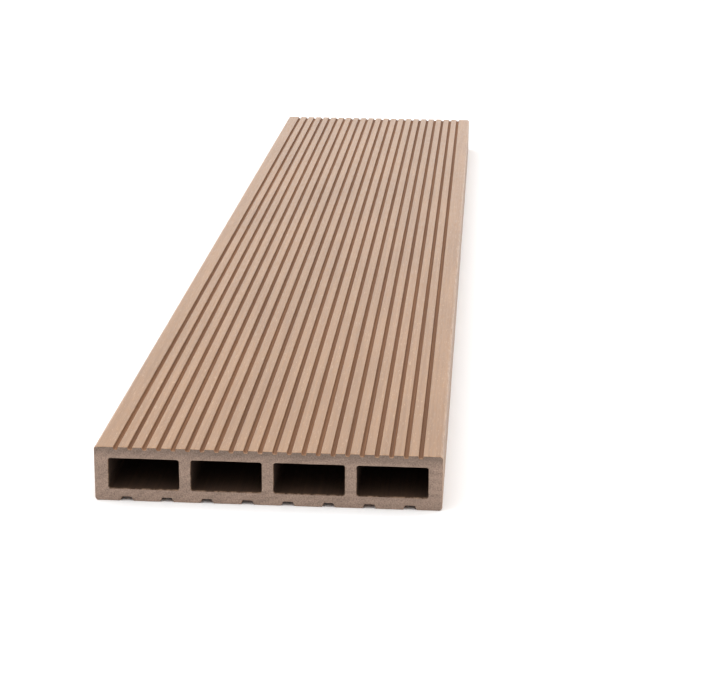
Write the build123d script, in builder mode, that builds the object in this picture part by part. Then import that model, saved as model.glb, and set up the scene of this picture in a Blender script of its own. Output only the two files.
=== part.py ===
"""Hollow wood-plastic composite board, extruded as one piece and cut to length.

X runs across the width, Y along the length and Z up. The origin is the middle of the underside.
The face with fine grooves is on top, and the face with wide grooves lies below.
"""

import os

from build123d import *

# Overall size, in millimetres
board_length = 800
board_width = 146
board_thickness = 24
edge_radius = 1.5

# Walls around the row of hollow chambers
chamber_count = 4
side_wall = 6
web_wall = 5
top_wall = 5.2
bottom_wall = 5.4
chamber_corner_radius = 1

# Fine grooves along the top face
fine_pitch = 6.07
fine_mouth = 2.1
fine_depth = 1.2
fine_wall_angle = 72
fine_floor_radius = 0.4
fine_lip_radius = 0.35
fine_edge_land = 6

# Wide grooves along the underside
wide_pitch = 17
wide_mouth = 5.5
wide_depth = 1.8
wide_wall_angle = 66
wide_floor_radius = 0.5
wide_lip_radius = 0.5
wide_edge_land = 9

# Chamber size and spacing that the walls leave
chamber_width = (board_width - 2 * side_wall - (chamber_count - 1) * web_wall) / chamber_count
chamber_height = board_thickness - top_wall - bottom_wall
chamber_pitch = chamber_width + web_wall
chamber_middle = bottom_wall + chamber_height / 2


def groove_count(pitch, mouth, edge_land):
    """How many grooves fit across the board with at least edge_land flat beside each long edge."""
    return int((board_width - 2 * edge_land - mouth) // pitch) + 1


def groove_profile(mouth, depth, wall_angle, floor_radius):
    """A groove's cross section, with its mouth on the X axis and its floor above."""
    with BuildSketch(mode=Mode.PRIVATE) as groove:
        Trapezoid(mouth, depth, wall_angle, align=(Align.CENTER, Align.MIN))
        fillet(groove.vertices().group_by(Axis.Y)[-1], floor_radius)
    return groove.sketch


fine_groove = groove_profile(fine_mouth, fine_depth, fine_wall_angle, fine_floor_radius)
fine_count = groove_count(fine_pitch, fine_mouth, fine_edge_land)
wide_groove = groove_profile(wide_mouth, wide_depth, wide_wall_angle, wide_floor_radius)
wide_count = groove_count(wide_pitch, wide_mouth, wide_edge_land)

with BuildPart() as board:
    # The die's section: sketch X is the board's X, and sketch Y is its Z
    with BuildSketch(Plane.XZ) as section:
        Rectangle(board_width, board_thickness, align=(Align.CENTER, Align.MIN))
        fillet(section.vertices(), edge_radius)
        with Locations((0, chamber_middle)):
            with GridLocations(chamber_pitch, chamber_height, chamber_count, 1):
                RectangleRounded(
                    chamber_width, chamber_height, chamber_corner_radius, mode=Mode.SUBTRACT
                )
        with GridLocations(wide_pitch, wide_depth, wide_count, 1):
            add(wide_groove, mode=Mode.SUBTRACT)
        with Locations((0, board_thickness)):
            with GridLocations(fine_pitch, fine_depth, fine_count, 1):
                add(fine_groove, rotation=180, mode=Mode.SUBTRACT)
        # The outermost vertices of each face end its rounded edges, and the others are groove lips
        underside, *_, top_face = section.vertices().group_by(Axis.Y)
        fillet(underside.sort_by(Axis.X)[1:-1], wide_lip_radius)
        fillet(top_face.sort_by(Axis.X)[1:-1], fine_lip_radius)
    extrude(amount=board_length / 2, both=True)

board.part.label = "board"

os.makedirs("parts", exist_ok=True)
export_step(board.part, "parts/board.step")
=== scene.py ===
"""A hollow composite board on a pale studio floor, seen from the photograph's viewing angle.

The board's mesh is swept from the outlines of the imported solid's sawn end. It adds what the solid
leaves out: brushed relief, broken arrises and saw marks. Sizes are in metres unless a name or a
heading says millimetres.
"""

import math

import bmesh
import bpy
import numpy as np
from mathutils import Matrix, Vector, noise
from mathutils.geometry import delaunay_2d_cdt


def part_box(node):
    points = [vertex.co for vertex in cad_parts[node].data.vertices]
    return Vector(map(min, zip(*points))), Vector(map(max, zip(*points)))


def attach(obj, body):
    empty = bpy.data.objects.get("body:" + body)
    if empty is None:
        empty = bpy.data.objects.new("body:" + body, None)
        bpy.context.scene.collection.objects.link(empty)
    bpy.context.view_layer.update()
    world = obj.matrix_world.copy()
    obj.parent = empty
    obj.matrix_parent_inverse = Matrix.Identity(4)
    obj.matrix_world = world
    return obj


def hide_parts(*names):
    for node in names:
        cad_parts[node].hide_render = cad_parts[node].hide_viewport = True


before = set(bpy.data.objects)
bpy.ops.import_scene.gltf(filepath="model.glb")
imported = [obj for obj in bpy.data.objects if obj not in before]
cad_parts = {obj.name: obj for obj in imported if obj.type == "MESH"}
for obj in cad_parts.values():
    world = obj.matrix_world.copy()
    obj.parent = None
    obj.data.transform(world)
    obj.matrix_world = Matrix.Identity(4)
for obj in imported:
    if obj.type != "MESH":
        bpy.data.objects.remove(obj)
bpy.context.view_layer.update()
low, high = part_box("board")
length = high.y - low.y
thickness = high.z - low.z
half_width = high.x

MM = 0.001

# How finely the outlines, the length and the sawn ends are divided
WELD = 1e-6
ARC_STEP = 0.15 * MM
SKIN_STEP = 1.3 * MM
CHAMBER_STEP = 5 * MM
END_STATIONS = (0, 0.25 * MM, 0.7 * MM, 2 * MM, 6 * MM)
MIDDLE_STATIONS = 60
END_GRID = 0.8 * MM
CREASE_ANGLE = math.radians(40)

# A face is part of a sawn end if its unit normal points more than this along the board
END_FACING = 0.5

# The kind of triangulation that gives every triangle of the convex hull
HULL_TRIANGLES = 0

# Relief cut into the solid's faces, with its noise in changes a metre across, along and up
BRUSH_DEPTH = 0.06 * MM
BRUSH_SCALE = Vector((900, 25, 900))
ARRIS_DEPTH = 0.22 * MM
ARRIS_LENGTH = 0.7 * MM
ARRIS_SCALE = Vector((700, 700, 700))
LEAST_BROKEN = 0.3
SAW_DEPTH = 0.08 * MM
SAW_PITCH = 3.2 * MM
SAW_CENTRE = Vector((50 * MM, 0, -140 * MM))

# Material slots of the mesh
SKIN_SLOT = 0
SAWN_SLOT = 1

# The bake map, from the bottom up: the sawn ends, the chambers' walls and the outer skin
MAP_EDGE = 0.004
END_MAP_WIDTH = 0.48
END_MAP_CORNERS = ((0.008, 0.008), (0.51, 0.008))
CHAMBER_BANDS_FROM = 0.11
CHAMBER_BAND = 0.045
SKIN_BAND = (0.31, 0.995)

# Colours: faces lightened by brushing, the dark skin that the die leaves, worn edges and sawn ends
BRUSHED_LIGHT = (0.351, 0.192, 0.094, 1)
BRUSHED_DARK = (0.241, 0.123, 0.055, 1)
PALE_FLECK = (0.48, 0.307, 0.184, 1)
SKIN_LIGHT = (0.230, 0.102, 0.040, 1)
SKIN_DARK = (0.146, 0.061, 0.023, 1)
WORN = (0.48, 0.307, 0.195, 1)
SAWN_LIGHT = (0.345, 0.243, 0.187, 1)
SAWN_DARK = (0.203, 0.138, 0.104, 1)

# How often each pattern changes in a millimetre across the board, along it and up it
BROAD_TONE = (0.035, 0.006, 0.05)
LONG_BANDS = (0.8, 0.012, 0.8)
FIBRES = (4.0, 0.10, 4.0)
FLECKS = (2.4, 0.22, 2.4)
DIE_LINES = (2.5, 0.004, 2.5)
BRUSH_WANDER = (0.9, 0.09, 0.9)
WEAR_PATCHES = (0.5, 0.12, 0.5)
WOOD_FLOUR = (1.6, 1.6, 1.6)
BLOTCHES = (0.12, 0.12, 0.2)

# Where the noise's values mostly lie, where its few high ones start, and its finer layers
NOISE_SPAN = (0.3, 0.7)
NOISE_PEAKS = (0.60, 0.70)
NOISE_ROUGHNESS = 0.6
PLAIN_DETAIL = 2.0
FIBRE_DETAIL = 3.0
FLOUR_DETAIL = 4.0

# How strongly the patterns show: brightness at their low and high values, and the flecks' cover
BROAD_TONE_SHADE = (0.94, 1.06)
BLOTCH_SHADE = (0.92, 1.08)
SAW_SHADE = (1.05, 0.95)
FLECK_MOST = 0.6

# Where each finish and each painted shade starts and ends, in millimetres from a face, a long side or an
# edge, and its strength
BRUSH_REACH = (0.15, 0.55)
BRUSH_RAGGED = 0.12
SIDE_REACH = (2.0, 3.5)
SIDE_BRUSHED = 0.85
# Painted shade: the skin darkens deeper in from the faces, so the chambers' walls, and a little of the
# long sides, read dark
PAINTED_SHADE_DEPTHS = (2.5, 4.0)
CHAMBER_PAINTED_SHADE = 0.22
# Painted shade: the sawn ends are darkened towards the top face
TOP_OF_CUT_SHADE_REACH = (1.0, 5.5)
TOP_OF_CUT_PAINTED_SHADE = 0.65
WEAR_REACH = (0.3, 1.6)
WEAR_MOST = 0.55

# Roughness, and the height of the bump. Brushing takes its polish off the skin's roughness
SKIN_ROUGHNESS = 0.8
BRUSHED_POLISH = (0.50, 0.34)
SAWN_ROUGHNESS = (0.9, 0.8)
FIBRE_RELIEF = 0.035 * MM
FLOUR_RELIEF = 0.1 * MM

# Spans of values that shader nodes give, and the sockets of a Mix node for colours
UNIT_SPAN = (0.0, 1.0)
SINE_SPAN = (-1.0, 1.0)
MIX_FACTOR = 0
MIX_FIRST = 6
MIX_SECOND = 7
MIX_RESULT = 2

# Camera, in degrees and in the board's frame
IMAGE_WIDTH = 704
FOCAL_PIXELS = 1937.7
SENSOR_WIDTH = 36
CAMERA_PLACE = (0.0869, -1.1529, 0.2960)
CAMERA_HEADING = 3.952
CAMERA_PITCH = 16.749
CAMERA_ROLL = 0.419

# A matt white floor and a softbox
FLOOR_HALF = 8
FLOOR_GREY = 0.95
FLOOR_ROUGHNESS = 1.0
FLOOR_SPECULAR = 0.0
KEY_PLACE = (-1.3, -0.6, 1.2)
KEY_SIZE = 1.5
KEY_WATTS = 7

# The dome's strength in front and behind, and what is added overhead and low behind
DOME_COLOUR = (1, 1, 1, 1)
DOME_FRONT = 0.7
DOME_BACK = 0.9
DOME_TOP = 0.9
DOME_HORIZON = 2.3

# Where the dome's strength changes, by the y or z of a unit direction
FRONT_TO_BACK = (-0.35, 0.65)
SIDE_TO_TOP = (0.2, 0.9)
HORIZON_TO_SKY = (0.0, 0.25)
SIDE_TO_BACK = (0.3, 0.9)


# The board's mesh

def closed_outlines(mesh, end_y):
    """The outlines of the board's sawn end as arrays of (x, z) points, the outer one first.

    The outer one runs anticlockwise seen from the near end and the chambers' run clockwise, so the
    material is on the left of each.
    """
    welded = bmesh.new()
    welded.from_mesh(mesh)
    bmesh.ops.remove_doubles(welded, verts=welded.verts, dist=WELD)
    welded.verts.index_update()
    places = [Vector((v.co.x, v.co.z)) for v in welded.verts]
    beside = {}
    for edge in welded.edges:
        at_end = all(abs(v.co.y - end_y) < WELD for v in edge.verts)
        turns = len({abs(face.normal.y) > END_FACING for face in edge.link_faces}) == 2
        if at_end and turns:
            a, b = (v.index for v in edge.verts)
            beside.setdefault(a, []).append(b)
            beside.setdefault(b, []).append(a)
    welded.free()
    outlines = []
    left = sorted(beside)
    while left:
        chain = [left[0]]
        step = beside[left[0]][0]
        while step != chain[0]:
            before = chain[-1]
            chain.append(step)
            step = next(p for p in beside[step] if p != before)
        outlines.append(np.array([places[p] for p in chain]))
        left = [p for p in left if p not in chain]
    outlines.sort(key=lambda points: -abs(signed_area(points)))
    outer, *chambers = outlines
    turned = [outer if signed_area(outer) > 0 else outer[::-1]]
    turned += [hole if signed_area(hole) < 0 else hole[::-1] for hole in chambers]
    return turned


def signed_area(points):
    """The area inside an outline, above zero where it runs anticlockwise."""
    after = np.roll(points, -1, axis=0)
    return (points[:, 0] * after[:, 1] - after[:, 0] * points[:, 1]).sum() / 2


def divided(points, longest):
    """The outline with its arcs thinned to ARC_STEP and its straights split into equal runs."""
    edges = np.linalg.norm(np.roll(points, -1, axis=0) - points, axis=1)
    kept = [points[0]]
    for i in range(1, len(points)):
        ends_a_straight = max(edges[i - 1], edges[i]) > ARC_STEP
        if ends_a_straight or np.linalg.norm(points[i] - kept[-1]) >= ARC_STEP:
            kept.append(points[i])
    fine = []
    for a, b in zip(kept, kept[1:] + kept[:1]):
        runs = max(1, math.ceil(np.linalg.norm(b - a) / longest))
        fine += [a + (b - a) * run / runs for run in range(runs)]
    return np.array(fine)


def outward_normals(points):
    """Unit normals that point out of the material, one at each point of an outline."""
    along = np.roll(points, -1, axis=0) - np.roll(points, 1, axis=0)
    along /= np.linalg.norm(along, axis=1)[:, None]
    return np.column_stack((along[:, 1], -along[:, 0]))


def in_material(points, outlines):
    """Which points lie inside the outer outline and outside the chambers."""
    x, z = points[:, :1], points[:, 1:]
    crossings = np.zeros(len(points), int)
    for outline in outlines:
        ahead = np.roll(outline, -1, axis=0)
        rise = ahead[:, 1] - outline[:, 1]
        straddles = (outline[:, 1] > z) != (ahead[:, 1] > z)
        share = (z - outline[:, 1]) / np.where(rise == 0, 1, rise)
        crosses_at = outline[:, 0] + share * (ahead[:, 0] - outline[:, 0])
        crossings += (straddles & (x < crosses_at)).sum(axis=1)
    return crossings % 2 == 1


def clear_of(points, outlines, gap):
    """The points in the material that stand more than the gap away from every outline."""
    kept = in_material(points, outlines)
    for outline in outlines:
        along = np.roll(outline, -1, axis=0) - outline
        offset = points[:, None] - outline
        share = np.clip((offset * along).sum(axis=2) / (along ** 2).sum(axis=1), 0, 1)
        kept &= np.linalg.norm(offset - share[:, :, None] * along, axis=2).min(axis=1) > gap
    return points[kept]


def stations():
    """Where the sections stand along the board: close together at both ends, then evenly spaced."""
    inner = np.linspace(END_STATIONS[-1], length - END_STATIONS[-1], MIDDLE_STATIONS)[1:-1]
    from_near = [*END_STATIONS, *inner, *(length - s for s in reversed(END_STATIONS))]
    return low.y + np.array(from_near)


def unevenness(x, y, z, scale):
    """Smooth noise from 0 to 1."""
    return (1 + noise.noise(Vector((x * scale.x, y * scale.y, z * scale.z)))) / 2


def inset(x, y, z, is_outer):
    """How far the surface lies inside the solid's: brushed relief, and a broken arris at the ends."""
    depth = 0
    if is_outer:
        depth += BRUSH_DEPTH * unevenness(x, y, z, BRUSH_SCALE)
    from_end = min(y - low.y, high.y - y)
    if from_end < ARRIS_LENGTH:
        broken = (1 - from_end / ARRIS_LENGTH) ** 2
        depth += ARRIS_DEPTH * broken * (LEAST_BROKEN + unevenness(x, y, z, ARRIS_SCALE))
    return depth


def saw_mark(x, z):
    """How deep the saw has scored the end at a point: faint arcs round the blade's centre."""
    radius = (Vector((x, 0, z)) - SAW_CENTRE).length
    return SAW_DEPTH * (1 + math.sin(math.tau * radius / SAW_PITCH)) / 2


class Sweep:
    """Vertices, faces, bake map and material slots of the board's mesh, gathered piece by piece."""

    def __init__(self):
        self.vertices = []
        self.faces = []
        self.map = []
        self.slots = []

    def add_wall(self, points, along, is_outer, band):
        """The wall that an outline leaves along the board. Returns its first and last ring."""
        first = len(self.vertices)
        count = len(points)
        normals = outward_normals(points)
        for y in along:
            for (x, z), (nx, nz) in zip(points, normals):
                depth = inset(x, y, z, is_outer)
                self.vertices.append((x - nx * depth, y, z - nz * depth))
        steps = np.linalg.norm(np.roll(points, -1, axis=0) - points, axis=1)
        around = np.concatenate(([0], np.cumsum(steps))) / steps.sum()
        around = band[0] + around * (band[1] - band[0])
        ahead = MAP_EDGE + (along - low.y) / length * (1 - 2 * MAP_EDGE)
        for j in range(len(along) - 1):
            for i in range(count):
                a, b = first + j * count + i, first + j * count + (i + 1) % count
                self.faces.append((a, a + count, b + count, b))
                self.map += [
                    (ahead[j], around[i]),
                    (ahead[j + 1], around[i]),
                    (ahead[j + 1], around[i + 1]),
                    (ahead[j], around[i + 1]),
                ]
                self.slots.append(SKIN_SLOT)
        last = first + (len(along) - 1) * count
        return list(range(first, first + count)), list(range(last, last + count))

    def outline_of(self, ring):
        """The (x, z) points of a ring of vertices."""
        return np.array([(self.vertices[v][0], self.vertices[v][2]) for v in ring])

    def add_end(self, rings, faces_near, corner):
        """A sawn end that closes the board between the rings of its outline and its chambers."""
        outlines = [self.outline_of(ring) for ring in rings]
        edges = []
        for ring in rings:
            start = len(edges)
            edges += [(start + i, start + (i + 1) % len(ring)) for i in range(len(ring))]
        grid = [
            (x, z)
            for x in np.arange(-half_width + END_GRID, half_width, END_GRID)
            for z in np.arange(END_GRID, thickness, END_GRID)
        ]
        inner = clear_of(np.array(grid), outlines, END_GRID / 2)
        places = [Vector(point) for point in np.concatenate((*outlines, inner))]
        flat, _, triangles, origins, _, _ = delaunay_2d_cdt(places, edges, [], HULL_TRIANGLES, WELD)
        middles = np.array(flat)[np.array(triangles)].mean(axis=1)
        solid = in_material(middles, outlines)
        triangles = [triangle for triangle, kept in zip(triangles, solid) if kept]
        rim = [vertex for ring in rings for vertex in ring]
        y, inwards = (low.y, 1) if faces_near else (high.y, -1)
        index = []
        for place, origin in zip(flat, origins):
            on_rim = [rim[o] for o in origin if o < len(rim)]
            if on_rim:
                index.append(on_rim[0])
            else:
                index.append(len(self.vertices))
                self.vertices.append((place.x, y, place.y))
            x, _, z = self.vertices[index[-1]]
            self.vertices[index[-1]] = (x, y + inwards * saw_mark(x, z), z)
        scale = END_MAP_WIDTH / (2 * half_width)
        for triangle in triangles:
            turned = triangle if faces_near else triangle[::-1]
            self.faces.append([index[p] for p in turned])
            for p in turned:
                across = corner[0] + (flat[p].x + half_width) * scale
                self.map.append((across, corner[1] + flat[p].y * scale))
            self.slots.append(SAWN_SLOT)


def board_mesh():
    """The board's walls and sawn ends as one closed mesh, with its bake map."""
    outer, *chambers = closed_outlines(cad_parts["board"].data, low.y)
    along = stations()
    sweep = Sweep()
    rings = [sweep.add_wall(divided(outer, SKIN_STEP), along, True, SKIN_BAND)]
    for i, hole in enumerate(chambers):
        start = CHAMBER_BANDS_FROM + i * CHAMBER_BAND
        band = (start, start + CHAMBER_BAND - MAP_EDGE)
        rings.append(sweep.add_wall(divided(hole, CHAMBER_STEP), along, False, band))
    sweep.add_end([near for near, _ in rings], True, END_MAP_CORNERS[0])
    sweep.add_end([far for _, far in rings], False, END_MAP_CORNERS[1])
    mesh = bpy.data.meshes.new("board_surface")
    mesh.from_pydata(sweep.vertices, [], sweep.faces)
    mesh.uv_layers.new(name="OFBake").data.foreach_set("uv", np.array(sweep.map).ravel())
    mesh.polygons.foreach_set("material_index", sweep.slots)
    mesh.shade_smooth()
    sharpen(mesh)
    return mesh


def sharpen(mesh):
    """Keeps the shading crisp where two faces meet at a real corner."""
    edges = bmesh.new()
    edges.from_mesh(mesh)
    for edge in edges.edges:
        edge.smooth = edge.calc_face_angle(0) < CREASE_ANGLE
    edges.to_mesh(mesh)
    edges.free()


# Shader nodes

def new_node(tree, kind, inputs, **settings):
    """A shader node with its settings made and its inputs set to a value or linked to an output."""
    node = tree.nodes.new(kind)
    for name, value in settings.items():
        setattr(node, name, value)
    for name, value in inputs.items():
        if isinstance(value, bpy.types.NodeSocket):
            tree.links.new(value, node.inputs[name])
        else:
            node.inputs[name].default_value = value
    return node


def new_material(name):
    """A material, its node tree and its shader."""
    material = bpy.data.materials.new(name)
    material.use_nodes = True
    return material, material.node_tree, material.node_tree.nodes["Principled BSDF"]


def math_node(tree, operation, a, b=0.0):
    return new_node(tree, "ShaderNodeMath", {0: a, 1: b}, operation=operation).outputs[0]


def vector_node(tree, operation, a, b):
    return new_node(tree, "ShaderNodeVectorMath", {0: a, 1: b}, operation=operation)


def separated(tree, vector):
    """The x, y and z of a vector."""
    return new_node(tree, "ShaderNodeSeparateXYZ", {0: vector}).outputs


def millimetres(tree):
    """The place on the board in millimetres."""
    inputs = {0: new_node(tree, "ShaderNodeTexCoord", {}).outputs["Object"], "Scale": 1 / MM}
    return new_node(tree, "ShaderNodeVectorMath", inputs, operation="SCALE").outputs[0]


def below_top(tree, z):
    """How far a height in millimetres is under the board's top face."""
    return math_node(tree, "SUBTRACT", thickness / MM, z)


def within(tree, value, limit):
    """How many millimetres a value on either side of the middle lies within a limit in metres."""
    return math_node(tree, "SUBTRACT", limit / MM, math_node(tree, "ABSOLUTE", value))


def mean_of(tree, a, b):
    return math_node(tree, "MULTIPLY", math_node(tree, "ADD", a, b), 1 / 2)


def mapped(tree, value, span, result=UNIT_SPAN):
    """The value carried smoothly from one span to another, and held at the ends."""
    inputs = {
        "Value": value,
        "From Min": span[0],
        "From Max": span[1],
        "To Min": result[0],
        "To Max": result[1],
    }
    return new_node(tree, "ShaderNodeMapRange", inputs, interpolation_type="SMOOTHSTEP").outputs[0]


def pattern(tree, place, per_mm, result=UNIT_SPAN, span=NOISE_SPAN, detail=PLAIN_DETAIL):
    """Noise that changes per_mm times a millimetre across, along and up, carried to the result."""
    stretched = vector_node(tree, "MULTIPLY", place, per_mm).outputs[0]
    inputs = {"Vector": stretched, "Scale": 1.0, "Detail": detail, "Roughness": NOISE_ROUGHNESS}
    return mapped(tree, new_node(tree, "ShaderNodeTexNoise", inputs).outputs["Fac"], span, result)


def blended(tree, factor, a, b, way="MIX"):
    """Colour a carried towards colour b by a factor, or multiplied by it."""
    inputs = {MIX_FACTOR: factor, MIX_FIRST: a, MIX_SECOND: b}
    mix = new_node(tree, "ShaderNodeMix", inputs, data_type="RGBA", blend_type=way)
    return mix.outputs[MIX_RESULT]


def shaded(tree, colour, brightness):
    """The colour times a brightness."""
    inputs = dict.fromkeys(("Red", "Green", "Blue"), brightness)
    grey = new_node(tree, "ShaderNodeCombineColor", inputs).outputs[0]
    return blended(tree, 1.0, colour, grey, "MULTIPLY")


def finish_material(tree, shader, colour, roughness, height, relief):
    """Links a colour and a roughness, and a bump whose height is relief metres."""
    bump = new_node(tree, "ShaderNodeBump", {"Height": height, "Strength": 1.0, "Distance": relief})
    tree.links.new(colour, shader.inputs["Base Color"])
    tree.links.new(roughness, shader.inputs["Roughness"])
    tree.links.new(bump.outputs[0], shader.inputs["Normal"])


# Materials

def composite_material():
    """Extruded wood-plastic: a dark skin in grooves and chambers, with painted shade deeper in, and
    lighter, brushed faces.
    """
    material, tree, shader = new_material("composite")
    place = millimetres(tree)
    x, y, z = separated(tree, place)
    depth = math_node(tree, "MINIMUM", below_top(tree, z), z)
    from_side = within(tree, x, half_width)
    from_end = within(tree, y, high.y)

    wander = pattern(tree, place, BRUSH_WANDER, (-BRUSH_RAGGED, BRUSH_RAGGED))
    on_face = mapped(tree, math_node(tree, "ADD", depth, wander), BRUSH_REACH, (1.0, 0.0))
    on_side = mapped(tree, from_side, SIDE_REACH, (SIDE_BRUSHED, 0.0))
    brushed = math_node(tree, "MAXIMUM", on_face, on_side)

    fibres = pattern(tree, place, FIBRES, detail=FIBRE_DETAIL)
    bands = pattern(tree, place, LONG_BANDS, detail=FIBRE_DETAIL)
    brushed_colour = blended(tree, mean_of(tree, fibres, bands), BRUSHED_DARK, BRUSHED_LIGHT)
    flecks = pattern(tree, place, FLECKS, (0.0, FLECK_MOST), NOISE_PEAKS)
    brushed_colour = blended(tree, flecks, brushed_colour, PALE_FLECK)

    skin_and_shade = blended(tree, pattern(tree, place, DIE_LINES), SKIN_DARK, SKIN_LIGHT)
    # Painted shade: the skin is darkened with depth, so the chambers' walls read dark
    skin_and_shade = shaded(tree, skin_and_shade, mapped(tree, depth, PAINTED_SHADE_DEPTHS, (1.0, CHAMBER_PAINTED_SHADE)))
    colour = blended(tree, brushed, skin_and_shade, brushed_colour)
    colour = shaded(tree, colour, pattern(tree, place, BROAD_TONE, BROAD_TONE_SHADE))

    from_arris = math_node(tree, "MAXIMUM", from_side, depth)
    from_edge = math_node(tree, "MINIMUM", from_arris, from_end)
    wear = mapped(tree, from_edge, WEAR_REACH, (WEAR_MOST, 0.0))
    wear = math_node(tree, "MULTIPLY", wear, pattern(tree, place, WEAR_PATCHES))
    colour = blended(tree, wear, colour, WORN)

    polish = pattern(tree, place, FIBRES, BRUSHED_POLISH, detail=FIBRE_DETAIL)
    polish = math_node(tree, "MULTIPLY", brushed, polish)
    roughness = math_node(tree, "SUBTRACT", SKIN_ROUGHNESS, polish)
    finish_material(tree, shader, colour, roughness, fibres, FIBRE_RELIEF)
    return material


def sawn_material():
    """The cut ends: greyer than the skin, speckled with wood flour, sawn in arcs, with painted shade
    along the top.
    """
    material, tree, shader = new_material("sawn_end")
    place = millimetres(tree)
    across_and_up = (1, 0, 1)
    flat = vector_node(tree, "MULTIPLY", place, across_and_up).outputs[0]
    radius = vector_node(tree, "DISTANCE", flat, SAW_CENTRE / MM).outputs["Value"]
    arcs = math_node(tree, "SINE", math_node(tree, "MULTIPLY", radius, math.tau / (SAW_PITCH / MM)))
    speckle = pattern(tree, place, WOOD_FLOUR, detail=FLOUR_DETAIL)
    colour = blended(tree, speckle, SAWN_DARK, SAWN_LIGHT)
    colour = shaded(tree, colour, pattern(tree, place, BLOTCHES, BLOTCH_SHADE))
    colour = shaded(tree, colour, mapped(tree, arcs, SINE_SPAN, SAW_SHADE))
    _, _, z = separated(tree, place)
    # Painted shade: the cut is darkened within a few millimetres of the top face
    colour = shaded(tree, colour, mapped(tree, below_top(tree, z), TOP_OF_CUT_SHADE_REACH, (TOP_OF_CUT_PAINTED_SHADE, 1.0)))
    roughness = mapped(tree, speckle, UNIT_SPAN, SAWN_ROUGHNESS)
    finish_material(tree, shader, colour, roughness, speckle, FLOUR_RELIEF)
    return material


def add_board():
    mesh = board_mesh()
    mesh.materials.append(composite_material())
    mesh.materials.append(sawn_material())
    board = bpy.data.objects.new("board_surface", mesh)
    bpy.context.scene.collection.objects.link(board)
    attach(board, "root")
    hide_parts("board")


# The studio

def add_floor():
    corners = [(-1, -1), (1, -1), (1, 1), (-1, 1)]
    mesh = bpy.data.meshes.new("floor")
    mesh.from_pydata([(x * FLOOR_HALF, y * FLOOR_HALF, 0) for x, y in corners], [], [(0, 1, 2, 3)])
    material, _, shader = new_material("floor")
    shader.inputs["Base Color"].default_value = (FLOOR_GREY, FLOOR_GREY, FLOOR_GREY, 1)
    shader.inputs["Roughness"].default_value = FLOOR_ROUGHNESS
    shader.inputs["Specular IOR Level"].default_value = FLOOR_SPECULAR
    mesh.materials.append(material)
    floor = bpy.data.objects.new("floor", mesh)
    bpy.context.scene.collection.objects.link(floor)


def add_key_light():
    """A square softbox up on the board's left, a little in front of it, aimed at the board's middle."""
    data = bpy.data.lights.new("key", "AREA")
    data.size = KEY_SIZE
    data.energy = KEY_WATTS
    light = bpy.data.objects.new("key", data)
    light.location = KEY_PLACE
    light.rotation_euler = (-Vector(KEY_PLACE)).to_track_quat("-Z", "Y").to_euler()
    bpy.context.scene.collection.objects.link(light)


def add_studio_dome():
    """A soft white dome: brighter behind than in front, and brighter still overhead and low behind."""
    world = bpy.data.worlds.new("studio")
    bpy.context.scene.world = world
    world.use_nodes = True
    tree = world.node_tree
    background = tree.nodes["Background"]
    direction = new_node(tree, "ShaderNodeTexCoord", {}).outputs["Generated"]
    _, y, z = separated(tree, direction)
    around = mapped(tree, y, FRONT_TO_BACK, (DOME_FRONT, DOME_BACK))
    overhead = mapped(tree, z, SIDE_TO_TOP, (0.0, DOME_TOP))
    low_down = mapped(tree, z, HORIZON_TO_SKY, (DOME_HORIZON, 0.0))
    low_behind = math_node(tree, "MULTIPLY", low_down, mapped(tree, y, SIDE_TO_BACK))
    strength = math_node(tree, "ADD", math_node(tree, "ADD", around, overhead), low_behind)
    tree.links.new(strength, background.inputs["Strength"])
    background.inputs["Color"].default_value = DOME_COLOUR


def add_camera():
    """The photograph's camera, turned a little towards the board's left and looking down on it."""
    data = bpy.data.cameras.new("camera")
    data.sensor_width = SENSOR_WIDTH
    data.lens = FOCAL_PIXELS / IMAGE_WIDTH * SENSOR_WIDTH
    camera = bpy.data.objects.new("camera", data)
    heading = Matrix.Rotation(math.radians(CAMERA_HEADING), 4, "Z")
    pitch = Matrix.Rotation(math.radians(90 - CAMERA_PITCH), 4, "X")
    roll = Matrix.Rotation(math.radians(CAMERA_ROLL), 4, "Z")
    camera.matrix_world = Matrix.Translation(CAMERA_PLACE) @ heading @ pitch @ roll
    bpy.context.scene.collection.objects.link(camera)
    bpy.context.scene.camera = camera


add_board()
add_floor()
add_studio_dome()
add_key_light()
add_camera()
bpy.context.scene.view_settings.view_transform = "Standard"
